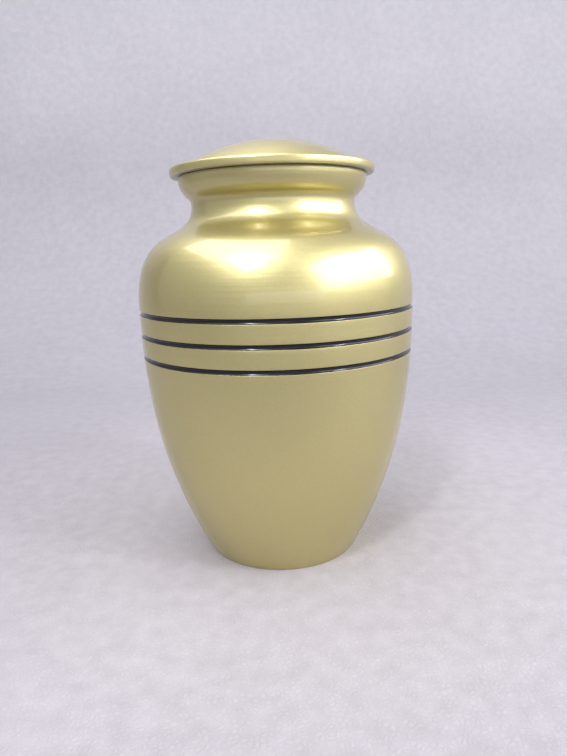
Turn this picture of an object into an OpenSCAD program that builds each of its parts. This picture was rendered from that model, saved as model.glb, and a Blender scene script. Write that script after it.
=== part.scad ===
// Cremation urn: a hollow cast vessel, a domed lid that lifts off, and three enamelled lines.
// Millimetres, +Z up. The origin is at the middle of the foot, on the surface that it stands on.

/* [Vessel] */
// Height of the vessel, from the surface it stands on to the top of its lip
vessel_h = 232.2; // [190:0.1:290]
// Widest diameter, at the belly
belly_d = 168; // [140:0.5:205]
// Diameter of the foot
foot_d = 99; // [82:0.5:119]
// Curve of the lower body: 1 is a straight cone, 2 a parabola, and more is fuller
lower_fullness = 2.4; // [1.8:0.1:3]
// Height of the shoulder, from the widest point up to the narrowest point of the neck
shoulder_h = 57.5; // [48:0.5:69]
// How long the shoulder keeps the belly's width, as a share of the shoulder's height
shoulder_fullness = 0.87; // [0.6:0.01:0.95]
// How long the neck keeps its width going down, as a share of the shoulder's height
neck_sweep = 0.4; // [0.25:0.01:0.6]
// Thickness of the wall
wall = 2.5; // [2:0.1:3.5]

/* [Neck and lip] */
// Diameter of the neck at its narrowest point
neck_d = 98.4; // [82:0.1:118]
// How far the lip stands out beyond the neck
lip_flare = 7; // [5:0.1:9]
// Height of the lip above the narrowest point of the neck
lip_h = 16.1; // [14:0.1:20]
// Height of the lip's upright face
lip_face = 2.1; // [1.8:0.1:3]
// Radius of the hollow under the lip
flare_r = 5; // [3:0.5:7]
// Rounding of the lip's edges
lip_edge = 1.2; // [0.6:0.1:1.4]

/* [Foot] */
// Width of the ring that the vessel stands on
foot_ring_w = 7; // [5:0.5:10]
// Depth of the hollow inside the foot ring
foot_recess = 1.5; // [1:0.1:2.5]
// Thickness of the vessel's floor above that hollow
floor_t = 3; // [2:0.1:4]
// Rounding of the foot's outer edge
foot_edge = 0.8; // [0.4:0.1:1.2]
// Rounding between the floor and the wall, inside
floor_round = 8; // [5:0.5:10]

/* [Enamelled lines] */
// Distance from the belly's widest point down to the middle of the first line
line_drop = 3.4; // [2:0.1:6]
// Distance from the middle of one line to the middle of the next
line_pitch = 13; // [8:0.1:18]
// Width of the hollow in each line
line_w = 2.3; // [1.6:0.1:3]
// Depth of the hollow in each line
line_depth = 0.9; // [0.5:0.1:1]
// Thickness of the enamel
enamel_t = 0.25; // [0.2:0.05:0.4]

/* [Lid] */
// How far the lid's rim stands out beyond the lip
rim_overhang = 4.8; // [2:0.1:7]
// Thickness of the rim
rim_t = 4.6; // [4:0.1:6]
// Rounding of the rim's upper edge
rim_top_edge = 1.5; // [0.8:0.1:2]
// Rounding of the rim's lower edge
rim_bottom_edge = 0.8; // [0.4:0.1:1.2]
// Width of the flat step between the rim's edge and the dome
dome_step = 7; // [4:0.5:9]
// Height of the dome above the rim
dome_h = 15.6; // [12:0.1:20]
// Radius of the hollow curve where the dome rises from the rim
dome_cove = 5; // [3:0.5:7]
// Thickness of the dome, and of the collar that stands in the mouth
lid_wall = 2.5; // [2:0.1:3.5]
// Depth of the collar below the rim
collar_h = 12; // [6:0.5:16]
// Clearance all round between the collar and the mouth
collar_gap = 0.4; // [0.2:0.1:0.8]

/* [Hidden] */
$fn = 180;

gold = [0.72, 0.68, 0.44];
black = [0.05, 0.05, 0.06];

long_curve_steps = 40;
dome_steps = 20;
short_curve_steps = 10;
corner_steps = 6;
small_edge = 0.5;
crown_r = 1.5; // the dome's very top is flat this far out from the axis
cut = 1;

belly_r = belly_d / 2;
foot_r = foot_d / 2;
neck_r = neck_d / 2;
lip_r = neck_r + lip_flare;
neck_z = vessel_h - lip_h;
belly_z = neck_z - shoulder_h;
mouth_r = neck_r - wall;
floor_z = foot_recess + floor_t;

// The hollow under the lip and the bead above it are two arcs that meet at one slope
bead_rise = lip_h - lip_face;
bead_turn = 2 * atan(lip_flare / bead_rise);
bead_r = bead_rise / sin(bead_turn) - flare_r;

rim_r = lip_r + rim_overhang;
dome_r = rim_r - dome_step;
dome_sphere_r = (dome_r * dome_r + dome_h * dome_h) / (2 * dome_h);
dome_centre_z = rim_t + dome_h - dome_sphere_r;
collar_r = mouth_r - collar_gap;
collar_bore_r = collar_r - lid_wall;

line_r = (line_w * line_w / 4 + line_depth * line_depth) / (2 * line_depth);

// Radius of the lower body at height z
function lower_r(z) =
    foot_r + (belly_r - foot_r) * (1 - pow(1 - z / belly_z, lower_fullness));

// Points from a up to b on a cubic curve that is upright at both ends
function upright_s_curve(a, b, hold_a, hold_b, steps) =
    [for (i = [0:steps])
        let (t = i / steps, s = 1 - t)
        s * s * s * a
            + 3 * s * s * t * (a + [0, hold_a])
            + 3 * s * t * t * (b - [0, hold_b])
            + t * t * t * b];

// Points along an arc
function arc(centre, r, start, sweep, steps) =
    [for (i = [0:steps])
        let (a = start + sweep * i / steps)
        centre + r * [cos(a), sin(a)]];

// The same line of points, moved to its left by d
function move_left(points, d) =
    [for (i = [0:len(points) - 1])
        let (along = points[min(i + 1, len(points) - 1)] - points[max(i - 1, 0)])
        points[i] + d * [-along.y, along.x] / norm(along)];

// The arc that rounds corner p, on the way from point a to point b
function corner_arc(a, p, b, r) =
    let (u = (a - p) / norm(a - p),
         v = (b - p) / norm(b - p),
         half = acos(u * v) / 2,
         centre = p + (u + v) / norm(u + v) * r / sin(half),
         start = p + u * r / tan(half) - centre,
         end = p + v * r / tan(half) - centre,
         start_angle = atan2(start.y, start.x),
         turn = atan2(end.y, end.x) - start_angle)
    arc(centre, r, start_angle, (turn + 540) % 360 - 180, corner_steps);

// An outline of [x, y] points and [x, y, radius] corners, with its corners rounded
function rounded(outline) =
    let (n = len(outline), flat = [for (p = outline) [p.x, p.y]])
    [for (i = [0:n - 1])
        each outline[i][2] == undef
            ? [flat[i]]
            : corner_arc(flat[(i + n - 1) % n], flat[i], flat[(i + 1) % n], outline[i][2])];

function with_radius(p, r) = [p.x, p.y, r];
function without_first(points) = [for (i = [1:len(points) - 1]) points[i]];
function without_ends(points) = [for (i = [1:len(points) - 2]) points[i]];

// The vessel's side from the foot to the narrowest point of the neck
lower_side = [for (i = [0:long_curve_steps])
    let (z = belly_z * i / long_curve_steps)
    [lower_r(z), z]];
shoulder_side = upright_s_curve([belly_r, belly_z], [neck_r, neck_z],
    shoulder_fullness * shoulder_h, neck_sweep * shoulder_h, long_curve_steps);
side = concat(lower_side, without_first(shoulder_side));

// The lip, from the narrowest point of the neck to the foot of its upright face
hollow_arc = arc([neck_r + flare_r, neck_z], flare_r, 180, -bead_turn, short_curve_steps);
bead_arc = arc([lip_r - bead_r, neck_z + bead_rise], bead_r, -bead_turn, bead_turn,
    short_curve_steps);

// The inside of the wall, from the floor's rounding to the mouth
inner_side = move_left(side, wall);
inner_r_by_z = [for (p = inner_side) [p.y, p.x]];
inner_above_round = [for (p = inner_side) if (p.y > floor_z + floor_round) p];

// The vessel's outline, filled from its axis out
module vessel_outline() {
    polygon(rounded(concat(
        [[0, 0], [foot_r, 0, foot_edge]],
        without_first(side),
        without_first(hollow_arc),
        without_first(bead_arc),
        [[lip_r, vessel_h, lip_edge], [0, vessel_h]])));
}

// The hollow for the ashes: the belly, and a straight mouth up through the neck
module hollow_outline() {
    polygon(rounded(concat(
        [[0, floor_z], [lookup(floor_z, inner_r_by_z), floor_z, floor_round]],
        without_ends(inner_above_round),
        [[mouth_r, neck_z], [mouth_r, vessel_h + cut], [0, vessel_h + cut]])));
}

// The rounded hollow of line number i, widened by extra
module line_circle(i, extra) {
    z = belly_z - line_drop - i * line_pitch;
    translate([lower_r(z) + line_r - line_depth, z])
        circle(r = line_r + extra);
}

module urn_body() {
    color(gold)
    rotate_extrude()
    difference() {
        vessel_outline();
        hollow_outline();
        square([foot_r - foot_ring_w, foot_recess]);
        for (i = [0:2]) {
            line_circle(i, enamel_t);
        }
    }
}

// Enamel that lines the groove of line number i, hollowed along its middle
module enamel_line(i) {
    color(black)
    rotate_extrude()
    difference() {
        intersection() {
            vessel_outline();
            line_circle(i, enamel_t);
        }
        line_circle(i, 0);
    }
}

// The lid rests with its rim on the lip, and its collar stands clear inside the mouth
module lid() {
    dome_turn = asin(dome_r / dome_sphere_r);
    dome_centre = [0, dome_centre_z];
    under_r = dome_sphere_r - lid_wall;
    under_turn = asin(collar_bore_r / under_r);
    dome = arc(dome_centre, dome_sphere_r, 90, -dome_turn, dome_steps);
    underside = arc(dome_centre, under_r, 90 - under_turn, under_turn, dome_steps);
    crown = [crown_r, rim_t + dome_h];
    color(gold)
    translate([0, 0, vessel_h])
    rotate_extrude()
    polygon(rounded(concat(
        [[0, crown.y], crown],
        without_ends(dome),
        [
            [dome_r, rim_t, dome_cove],
            [rim_r, rim_t, rim_top_edge],
            [rim_r, 0, rim_bottom_edge],
            [collar_r, 0],
            [collar_r, -collar_h, small_edge],
            [collar_bore_r, -collar_h, small_edge],
            with_radius(underside[0], lid_wall)
        ],
        without_ends(underside),
        [crown - [0, lid_wall], [0, crown.y - lid_wall]])));
}

urn_body();
lid();
enamel_line(0);  // enamel_line_top
enamel_line(1);  // enamel_line_middle
enamel_line(2);  // enamel_line_bottom
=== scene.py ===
from math import acos, asin, atan, cos, pi, radians, sin

import bmesh
import bpy
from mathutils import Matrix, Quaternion, Vector


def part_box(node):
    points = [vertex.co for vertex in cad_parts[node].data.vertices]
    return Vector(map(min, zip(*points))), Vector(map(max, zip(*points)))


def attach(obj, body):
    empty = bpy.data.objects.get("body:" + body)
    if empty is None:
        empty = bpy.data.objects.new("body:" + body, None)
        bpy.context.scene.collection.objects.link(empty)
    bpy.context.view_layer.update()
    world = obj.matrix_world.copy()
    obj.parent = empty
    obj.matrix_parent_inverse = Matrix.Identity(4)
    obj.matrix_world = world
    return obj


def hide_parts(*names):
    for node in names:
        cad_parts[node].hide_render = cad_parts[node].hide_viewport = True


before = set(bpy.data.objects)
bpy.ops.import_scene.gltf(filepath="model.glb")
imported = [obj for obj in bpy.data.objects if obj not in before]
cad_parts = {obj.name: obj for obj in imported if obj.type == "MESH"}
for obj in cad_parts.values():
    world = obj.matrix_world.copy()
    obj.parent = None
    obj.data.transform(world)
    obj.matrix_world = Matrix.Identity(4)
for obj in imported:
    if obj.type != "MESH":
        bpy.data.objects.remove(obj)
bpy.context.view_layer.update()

# The vessel.
# One hollow aluminium casting, turned on a lathe inside and out. Its outside is sprayed with a
# metallic lacquer up to the edge of the lip, and everything that the spray didn't reach is bare.
mm = 0.001
vessel_low, vessel_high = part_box("urn_body")
belly_r = (vessel_high[0] - vessel_low[0]) / 2
lip_top = vessel_high[2]
foot_r = 49.5 * mm
neck_r = 49.2 * mm
lip_r = 56.2 * mm
lip_h = 16.1 * mm
lip_face = 2.1 * mm
shoulder_h = 57.5 * mm
flare_r = 5 * mm
wall = 2.5 * mm
floor_top = 4.5 * mm
foot_recess = 1.5 * mm
foot_ring_w = 7 * mm
lower_fullness = 2.4
shoulder_fullness = 0.87
neck_sweep = 0.4

neck_z = lip_top - lip_h
belly_z = neck_z - shoulder_h
mouth_r = neck_r - wall
quarter_steps = 60
lower_steps = 80
shoulder_steps = 90
small_arc_steps = 16
bead_steps = 20
rounding_steps = 5
merge_gap = 0.001 * mm
crease_angle = pi / 5
LACQUERED, BARE = 0, 1


def lower_radius(z):
    """Radius of the body between the foot and the belly."""
    return foot_r + (belly_r - foot_r) * (1 - (1 - z / belly_z) ** lower_fullness)


def arc(centre, radius, start, sweep, steps):
    """Points along an arc, its ends included."""
    angles = [start + sweep * i / steps for i in range(steps + 1)]
    return [(centre[0] + radius * cos(a), centre[1] + radius * sin(a)) for a in angles]


def upright_curve(low, high, hold_low, hold_high, steps):
    """Points on a cubic curve that leaves its low end and reaches its high end upright."""
    ends = [Vector(low), Vector(low) + Vector((0, hold_low)),
            Vector(high) - Vector((0, hold_high)), Vector(high)]
    points = []
    for i in range(steps + 1):
        t = i / steps
        s = 1 - t
        weights = (s ** 3, 3 * s * s * t, 3 * s * t * t, t ** 3)
        points.append(tuple(sum((w * p for w, p in zip(weights, ends)), Vector((0, 0)))))
    return points


def moved_in(points, depth):
    """The same line of points, a wall's thickness further in."""
    shifted = []
    for i, point in enumerate(points):
        along = Vector(points[min(i + 1, len(points) - 1)]) - Vector(points[max(i - 1, 0)])
        along.normalize()
        shifted.append((point[0] - depth * along.y, point[1] + depth * along.x))
    return shifted


def turn(bm, outline, finish=0, roundings=()):
    """Turns an open outline of (radius, height) points a quarter of the way about the axis.

    The finish is the number of the piece's material, and the first where none is given. Each
    rounding is the number of a corner and how far back along its edges the curve begins.
    """
    known = len(bm.faces)
    verts = [bm.verts.new((r, 0, z)) for r, z in outline]
    edges = [bm.edges.new(pair) for pair in zip(verts, verts[1:])]
    for corner, size in roundings:
        bmesh.ops.bevel(
            bm, geom=[verts[corner]], offset=size, offset_type="OFFSET", segments=rounding_steps,
            profile=0.5, affect="VERTICES", material=-1)
    chain = [v for v in bm.verts if not v.link_faces]
    links = [e for e in bm.edges if not e.link_faces]
    bmesh.ops.spin(
        bm, geom=chain + links, cent=(0, 0, 0), axis=(0, 0, 1), dvec=(0, 0, 0),
        angle=pi / 2, steps=quarter_steps, use_merge=False, use_duplicate=False)
    bm.faces.ensure_lookup_table()
    for face in bm.faces[known:]:
        face.material_index = finish


def close_up(bm, name, materials):
    """Mirrors the quarter into a full turn, merges seams and poles, and makes the piece."""
    for axis in "XY":
        bmesh.ops.mirror(
            bm, geom=bm.verts[:] + bm.edges[:] + bm.faces[:], merge_dist=merge_gap, axis=axis)
    bmesh.ops.remove_doubles(bm, verts=bm.verts, dist=merge_gap)
    bmesh.ops.recalc_face_normals(bm, faces=bm.faces)
    mesh = bpy.data.meshes.new(name)
    bm.to_mesh(mesh)
    bm.free()
    for material in materials:
        mesh.materials.append(material)
    mesh.shade_smooth()
    mesh.set_sharp_from_angle(angle=crease_angle)
    piece = bpy.data.objects.new(name, mesh)
    bpy.context.scene.collection.objects.link(piece)
    return piece


class Signal:
    """One output of a node, on which Python's arithmetic adds Math nodes."""

    def __init__(self, finish, socket):
        self.finish = finish
        self.socket = socket

    def maths(self, operation, first, second):
        return self.finish.node("ShaderNodeMath", {"operation": operation}, {0: first, 1: second})

    def __add__(self, other):
        return self.maths("ADD", self, other)

    def __radd__(self, other):
        return self.maths("ADD", other, self)

    def __sub__(self, other):
        return self.maths("SUBTRACT", self, other)

    def __rsub__(self, other):
        return self.maths("SUBTRACT", other, self)

    def __mul__(self, other):
        return self.maths("MULTIPLY", self, other)

    def __rmul__(self, other):
        return self.maths("MULTIPLY", other, self)


class Finish:
    """A material, or the air of the room where its node tree is given, built node by node."""

    def __init__(self, name, tree=None):
        if tree is None:
            self.material = bpy.data.materials.new(name)
            self.material.use_nodes = True
            tree = self.material.node_tree
        self.tree = tree
        self.tree.nodes.clear()

    def node(self, kind, settings=None, inputs=None, output=0):
        """Adds a node, sets it, feeds its sockets with values or signals, and gives an output."""
        added = self.tree.nodes.new(kind)
        for name, value in (settings or {}).items():
            setattr(added, name, value)
        for name, value in (inputs or {}).items():
            if isinstance(value, Signal):
                self.tree.links.new(value.socket, added.inputs[name])
            else:
                added.inputs[name].default_value = value
        return Signal(self, added.outputs[output]) if added.outputs else None

    def place(self):
        return self.node("ShaderNodeTexCoord", output="Object")

    def noise(self, scale, detail=2.0):
        return self.node(
            "ShaderNodeTexNoise", inputs={"Vector": self.place(), "Scale": scale, "Detail": detail})

    def blend(self, amount, first, second):
        """A colour between two others, each of them plain or a signal."""
        first, second = [
            shade if isinstance(shade, Signal) else (*shade, 1) for shade in (first, second)]
        return self.node(
            "ShaderNodeMix", {"data_type": "RGBA"},
            {"Factor": amount, 6: first, 7: second}, output=2)

    def bump(self, height, depth):
        return self.node(
            "ShaderNodeBump", inputs={"Height": height, "Strength": 1.0, "Distance": depth})

    def surface(self, inputs):
        """Ends the material with a Principled shader."""
        shader = self.node("ShaderNodeBsdfPrincipled", inputs=inputs)
        self.node("ShaderNodeOutputMaterial", inputs={"Surface": shader})
        return self.material


def gold_lacquer():
    """Pale champagne gold: fine metal flake in a tinted lacquer, under a clear gloss coat.

    Faint rings of the lathe show through it, because the noise is stretched round the urn.
    """
    flake_size = 0.35 * mm
    rings_per_metre = 420
    ring_stretch = (0.03, 0.03, 1)
    finish = Finish("gold_lacquer")
    flake = finish.node(
        "ShaderNodeTexVoronoi", inputs={"Vector": finish.place(), "Scale": 1 / flake_size},
        output="Color")
    sparkle = finish.node("ShaderNodeSeparateColor", inputs={"Color": flake})
    cloud = finish.noise(14, detail=3)
    stretched = finish.node(
        "ShaderNodeMapping", inputs={"Vector": finish.place(), "Scale": ring_stretch})
    tool_marks = finish.node(
        "ShaderNodeTexNoise",
        inputs={"Vector": stretched, "Scale": rings_per_metre, "Detail": 2})
    return finish.surface({
        "Base Color": finish.blend(
            sparkle * 0.6 + cloud * 0.4, (0.535, 0.47, 0.19), (0.63, 0.56, 0.245)),
        "Metallic": 0.94,
        "Specular Tint": (0.8, 0.74, 0.5, 1),
        "Roughness": 0.33 + sparkle * 0.06 + cloud * 0.05 + tool_marks * 0.06,
        "Normal": finish.bump(sparkle + tool_marks * 22, 0.004 * mm),
        "Coat Weight": 1.0,
        "Coat Roughness": 0.1,
        "Coat IOR": 1.6})


def bare_aluminium():
    """Grey cast aluminium with fine lathe rings, dulled a little by handling."""
    ring_scale = 900
    finish = Finish("bare_aluminium")
    rings = finish.node(
        "ShaderNodeTexWave",
        {"wave_type": "BANDS", "bands_direction": "Z", "wave_profile": "SAW"},
        {"Vector": finish.place(), "Scale": ring_scale, "Distortion": 1.5, "Detail": 2})
    grain = finish.noise(420, detail=3)
    return finish.surface({
        "Base Color": finish.blend(grain, (0.42, 0.42, 0.43), (0.60, 0.60, 0.61)),
        "Metallic": 1.0,
        "Roughness": 0.38 + grain * 0.2,
        "Normal": finish.bump(rings * 0.5 + grain, 0.01 * mm)})


lacquer = gold_lacquer()
bare_metal = bare_aluminium()

# The three turned grooves, where the frame has their enamel
LINES = ["enamel_line_top", "enamel_line_middle", "enamel_line_bottom"]
enamel_t = 0.25 * mm
line_w = 2.3 * mm
line_depth = 0.9 * mm
line_r = (line_w ** 2 / 4 + line_depth ** 2) / (2 * line_depth)
edge_clear = 0.4 * mm  # from a groove's edge to the nearest point of the plain side


def line_centre(line):
    """Radius and height of the middle of the circle that hollows a line's enamel."""
    low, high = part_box(line)
    z = (low[2] + high[2]) / 2
    return lower_radius(z) + line_r - line_depth, z


def groove(line, rise, short=0.0):
    """The arc of a groove, from its lower edge up to its upper edge.

    It lies rise out from the groove's metal in the middle, and both its ends stop short of the
    groove's edges, on the metal, by an angle in radians.
    """
    z = line_centre(line)[1]
    lean = atan((lower_radius(z + mm) - lower_radius(z - mm)) / (2 * mm))
    groove_r = line_r + enamel_t
    reach = acos((line_r - line_depth) / groove_r) - short
    half_w = groove_r * sin(reach)
    depth = groove_r * (1 - cos(reach)) - rise
    radius = (half_w ** 2 + depth ** 2) / (2 * depth)
    shift = groove_r - rise - radius
    centre = Vector(line_centre(line)) + shift * Vector((-cos(lean), sin(lean)))
    turned = asin(half_w / radius)
    return arc(centre, radius, pi - lean + turned, -2 * turned, small_arc_steps)


grooves = [groove(line, 0) for line in reversed(LINES)]
heights = [belly_z * i / lower_steps for i in range(lower_steps + 1)]
side = [(lower_radius(z), z) for z in heights]
outer = [point for point in side if point[1] < grooves[0][0][1] - edge_clear]
edge_corners = []
for below, above in zip(grooves, grooves[1:] + [None]):
    edge_corners.append(len(outer))
    outer += below
    edge_corners.append(len(outer) - 1)
    top = above[0][1] if above else belly_z + mm
    outer += [p for p in side if below[-1][1] + edge_clear < p[1] < top - edge_clear]
shoulder = upright_curve(
    (belly_r, belly_z), (neck_r, neck_z),
    shoulder_fullness * shoulder_h, neck_sweep * shoulder_h, shoulder_steps)
bead_rise = lip_h - lip_face
bead_turn = 2 * atan((lip_r - neck_r) / bead_rise)
bead_r = bead_rise / sin(bead_turn) - flare_r
hollow = arc((neck_r + flare_r, neck_z), flare_r, pi, -bead_turn, small_arc_steps)
bead = arc((lip_r - bead_r, neck_z + bead_rise), bead_r, -bead_turn, bead_turn, bead_steps)
outer += shoulder[1:] + hollow[1:] + bead[1:]

foot_edge = 0.5 * mm
groove_edge = 0.15 * mm
lip_edge = 1.2 * mm
sprayed_foot_r = foot_r - 3 * mm
sprayed_lip_r = lip_r - 2 * mm
vessel = bmesh.new()
turn(
    vessel,
    [(sprayed_foot_r, 0), *outer, (lip_r, lip_top), (sprayed_lip_r, lip_top)],
    LACQUERED,
    [(1, foot_edge), (len(outer) + 1, lip_edge)]
    + [(corner + 1, groove_edge) for corner in edge_corners])

mouth_edge = 0.4 * mm
floor_round = 4.8 * mm
floor_round_top = floor_top + 9 * mm
inner = [p for p in moved_in(side + shoulder[1:], wall) if p[1] > floor_round_top]
nearest_floor = 2
inner_foot_r = moved_in(side, wall)[nearest_floor][0]
turn(
    vessel,
    [(sprayed_lip_r, lip_top), (mouth_r, lip_top), (mouth_r, neck_z), *reversed(inner[:-1]),
     (inner_foot_r, floor_top), (0, floor_top)],
    BARE,
    [(1, mouth_edge), (len(inner) + 2, floor_round)])

recess_r = foot_r - foot_ring_w
recess_edge = 0.3 * mm
turn(
    vessel,
    [(0, foot_recess), (recess_r, foot_recess), (recess_r, 0), (sprayed_foot_r, 0)],
    BARE,
    [(1, recess_edge), (2, recess_edge)])
vessel = close_up(vessel, "vessel", [lacquer, bare_metal])
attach(vessel, "root")
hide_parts("urn_body")

# The enamelled lines.
# Black enamel run into each groove and fired or baked there. It shrinks back as it sets, so
# each line is hollow along its middle and thins out to nothing just inside the groove's edges.
enamel_short = 0.05


def black_enamel():
    """Deep gloss black, with the faint waviness of a coat that flowed before it set."""
    finish = Finish("black_enamel")
    waves = finish.noise(260, detail=2)
    return finish.surface({
        "Base Color": finish.blend(waves, (0.004, 0.003, 0.004), (0.010, 0.008, 0.010)),
        "Roughness": 0.03 + waves * 0.04,
        "Specular IOR Level": 0.42,
        "Normal": finish.bump(waves, 0.01 * mm)})


enamel = black_enamel()
for line in LINES:
    ring = bmesh.new()
    back = groove(line, 0, short=enamel_short)
    face = groove(line, enamel_t, short=enamel_short)
    turn(ring, [*back, *reversed(face[1:-1]), back[0]])
    ring = close_up(ring, "enamel_" + line.split("_")[-1], [enamel])
    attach(ring, "root")
    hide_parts(line)

# The lid.
# A shallow cast dome with a flat rim that overhangs the lip. A plain collar under it stands in
# the mouth. Only its top and the edge of its rim are lacquered: underneath it is bare metal.
lid_low, lid_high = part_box("lid")
rim_r = (lid_high[0] - lid_low[0]) / 2
crown_z = lid_high[2]
rim_t = 4.6 * mm
dome_step = 7 * mm
collar_gap = 0.4 * mm
lid_wall = 2.5 * mm
dome_corner = 1.4 * mm
rim_top_edge = 1.5 * mm
rim_bottom_edge = 0.8 * mm
collar_edge = 0.5 * mm
collar_fillet = 1.2 * mm
dome_steps = 48
underside_steps = 20
rim_top = lip_top + rim_t
dome_r = rim_r - dome_step
dome_h = crown_z - rim_top
sphere_r = (dome_r ** 2 + dome_h ** 2) / (2 * dome_h)
sphere_z = crown_z - sphere_r
collar_r = mouth_r - collar_gap
collar_bore_r = collar_r - lid_wall
collar_low = lid_low[2]

dome = arc((0, sphere_z), sphere_r, pi / 2, -asin(dome_r / sphere_r), dome_steps)
under_r = sphere_r - lid_wall
under_turn = asin(collar_bore_r / under_r)
underside = arc((0, sphere_z), under_r, pi / 2 - under_turn, under_turn, underside_steps)
sprayed_rim_r = rim_r - 1 * mm
lid = bmesh.new()
turn(
    lid,
    [(0, crown_z), *dome[1:], (rim_r, rim_top), (rim_r, lip_top), (sprayed_rim_r, lip_top)],
    LACQUERED,
    [(len(dome) - 1, dome_corner), (len(dome), rim_top_edge), (len(dome) + 1, rim_bottom_edge)])
turn(
    lid,
    [(sprayed_rim_r, lip_top), (collar_r, lip_top), (collar_r, collar_low),
     (collar_bore_r, collar_low), *underside[:-1], (0, sphere_z + under_r)],
    BARE,
    [(2, collar_edge), (3, collar_edge), (4, collar_fillet)])
lid = close_up(lid, "domed_lid", [lacquer, bare_metal])
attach(lid, "root")
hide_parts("lid")

# The sweep that the urn stands on.
# A roll of pale, leather-grained sheet that lies on a table and curves up behind, a little
# creased from being rolled. It is the stage, and not part of the urn.


def pale_sheet():
    """Lavender-white sheet with a leather grain and broad soft creases.

    Its colour holds painted light and shade: palest round the urn as a painted pool of light, darker
    further off and in front of the urn as painted shade, and paler again up where it hangs as painted
    light.
    """
    grains_per_metre = 420
    finish = Finish("pale_sheet")
    grain = finish.node(
        "ShaderNodeTexVoronoi", {"feature": "DISTANCE_TO_EDGE"},
        {"Vector": finish.place(), "Scale": grains_per_metre})
    creases = finish.noise(5, detail=4)
    fine = finish.noise(90, detail=5)
    across, height = [
        finish.node("ShaderNodeSeparateXYZ", inputs={"Vector": finish.place()}, output=i)
        for i in (1, 2)]
    away = finish.node(
        "ShaderNodeVectorMath", {"operation": "LENGTH"}, {0: finish.place()}, output="Value")
    # Masks for painted light and shade: a painted pool of light round the urn that gives way to
    # painted shade with distance, painted shade in front of the urn, and painted light higher up the
    # hanging part.
    painted_light_falloff, painted_front_shade, painted_hanging_light = [
        finish.node(
            "ShaderNodeMapRange", {"clamp": True}, {"Value": what, "From Min": low, "From Max": high})
        for what, low, high in ((away, 0.12, 0.5), (across, -0.17, -0.45), (height, 0.05, 0.5))]
    mottled = fine * 0.9 + creases * 0.5 + grain * 0.5 - 0.4
    colour = finish.blend(mottled, (0.36, 0.335, 0.325), (0.51, 0.475, 0.47))
    # Each blend paints light or shade into the sheet's colour: darker further off, darker in front of
    # the urn, and paler again up where it hangs.
    for amount, dark, pale in (
            (painted_light_falloff, (0.30, 0.285, 0.29), (0.42, 0.395, 0.40)),
            (painted_front_shade, (0.20, 0.19, 0.195), (0.26, 0.245, 0.255)),
            (painted_hanging_light, (0.37, 0.355, 0.35), (0.51, 0.49, 0.49))):
        colour = finish.blend(amount, colour, finish.blend(mottled, dark, pale))
    return finish.surface({
        "Base Color": colour,
        "Roughness": 0.62 + fine * 0.2,
        "Normal": finish.bump(grain * 0.35 + fine * 0.3 + creases * 4, 1.0 * mm)})


sweep = bmesh.new()
half_w = 2.6
front_y = -1.8
fold_y = 0.75
top_y = 1.0
top_z = 1.5
fold_round = 0.35
fold_steps = 24
edge_verts = [
    sweep.verts.new((-half_w, y, z)) for y, z in ((front_y, 0), (fold_y, 0), (top_y, top_z))]
for pair in zip(edge_verts, edge_verts[1:]):
    sweep.edges.new(pair)
bmesh.ops.bevel(
    sweep, geom=[edge_verts[1]], offset=fold_round, offset_type="OFFSET", segments=fold_steps,
    profile=0.5, affect="VERTICES", material=-1)
pulled = bmesh.ops.extrude_edge_only(sweep, edges=sweep.edges[:])
bmesh.ops.translate(
    sweep, vec=(2 * half_w, 0, 0),
    verts=[v for v in pulled["geom"] if isinstance(v, bmesh.types.BMVert)])
bmesh.ops.recalc_face_normals(sweep, faces=sweep.faces)
mesh = bpy.data.meshes.new("sweep")
sweep.to_mesh(mesh)
sweep.free()
mesh.materials.append(pale_sheet())
mesh.shade_smooth()
sweep = bpy.data.objects.new("sweep", mesh)
bpy.context.scene.collection.objects.link(sweep)

# The light.
# A broad soft ceiling over the urn's left side with two brighter fittings near it, and a broad
# window on its right with one bright post. A low pale wall stands in front.
room = bpy.data.worlds.new("room")
bpy.context.scene.world = room
room.use_nodes = True
air = Finish("room", room.node_tree)
right, back, up = [
    air.node("ShaderNodeSeparateXYZ", inputs={"Vector": air.node("ShaderNodeTexCoord")}, output=i)
    for i in range(3)]

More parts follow.
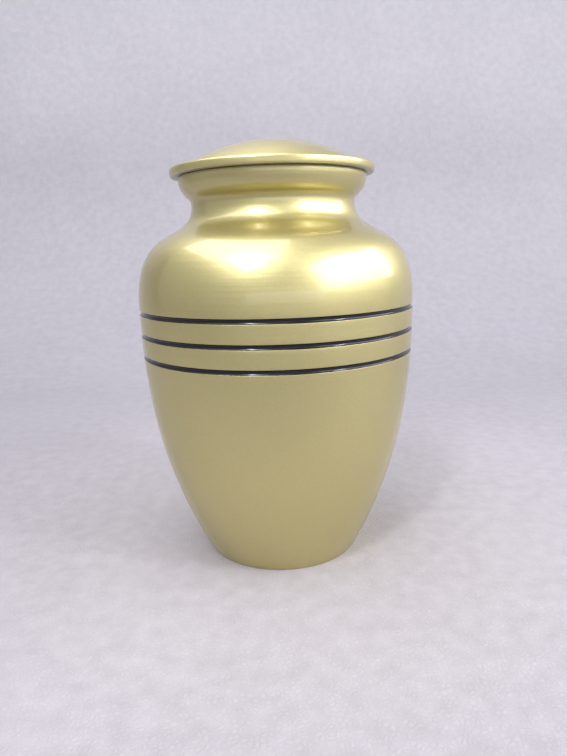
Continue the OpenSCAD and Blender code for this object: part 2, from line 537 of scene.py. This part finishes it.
# The air is palest overhead and a little paler towards the window. Seen directly, in metal or
# through glass it is a pale wall, but it casts less light than that on everything else.
paleness = right * 0.15 - back * 0.1 + up * 0.5 + 0.33
cast_colour = air.blend(paleness, (0.04, 0.04, 0.04), (0.42, 0.41, 0.43))
seen_colour = air.blend(paleness, (0.42, 0.415, 0.44), (0.80, 0.79, 0.83))
camera_ray, glossy_ray, transmission_ray = [
    air.node("ShaderNodeLightPath", output=name)
    for name in ("Is Camera Ray", "Is Glossy Ray", "Is Transmission Ray")]
air_colour = air.blend(camera_ray + glossy_ray + transmission_ray, cast_colour, seen_colour)
background = air.node("ShaderNodeBackground", inputs={"Color": air_colour, "Strength": 1.0})
air.node("ShaderNodeOutputWorld", inputs={"Surface": background})

shoulder_top = Vector((0, 0, 0.20))
daylight = (0.96, 0.98, 1.13)


def lamp(name, around, away, up, width, height, brightness):
    """A rectangular lamp that faces the urn's shoulder.

    It hangs around degrees to the right of the camera's side, away metres off and up metres
    above the shoulder. Its brightness is that of its face, where 1 is white.
    """
    light = bpy.data.lights.new(name, "AREA")
    light.shape = "RECTANGLE"
    light.size, light.size_y = width, height
    light.energy = pi * width * height * brightness
    light.color = daylight
    holder = bpy.data.objects.new(name, light)
    turned = radians(around)
    holder.location = shoulder_top + Vector((away * sin(turned), -away * cos(turned), up))
    holder.rotation_euler = (shoulder_top - holder.location).to_track_quat("-Z", "Y").to_euler()
    holder.visible_camera = False
    bpy.context.scene.collection.objects.link(holder)
    return holder


ceiling = lamp(
    "ceiling", around=-85, away=0.65, up=1.6, width=1.7, height=2.2, brightness=2.2)
ceiling.rotation_euler = (0, 0, 0)
lamp("ceiling_light", around=-24, away=1.2, up=1.4, width=0.55, height=0.6, brightness=7.5)
lamp("ceiling_strip", around=-25, away=1.5, up=1.5, width=0.13, height=0.8, brightness=40)
lamp("window", around=74, away=1.7, up=0.9, width=3.0, height=1.25, brightness=3.3)
lamp("window_post", around=57, away=1.65, up=1.1, width=0.12, height=0.7, brightness=40)
lamp("pale_wall", around=8, away=2.0, up=0.2, width=2.4, height=0.3, brightness=1.0)

# The camera.
# It stands a little over the urn's middle and looks slightly down on it.
camera = bpy.data.objects.new("camera", bpy.data.cameras.new("camera"))
pitch, yaw, roll = 0.2210, 0.0085, -0.0300
camera.location = (0, -0.3721, 0.1915)
ahead = Vector((sin(yaw) * cos(pitch), cos(yaw) * cos(pitch), -sin(pitch)))
camera.rotation_mode = "QUATERNION"
camera.rotation_quaternion = ahead.to_track_quat("-Z", "Y") @ Quaternion((0, 0, 1), roll)
camera.data.lens = 28.06
bpy.context.scene.collection.objects.link(camera)
bpy.context.scene.camera = camera
bpy.context.scene.view_settings.view_transform = "Standard"
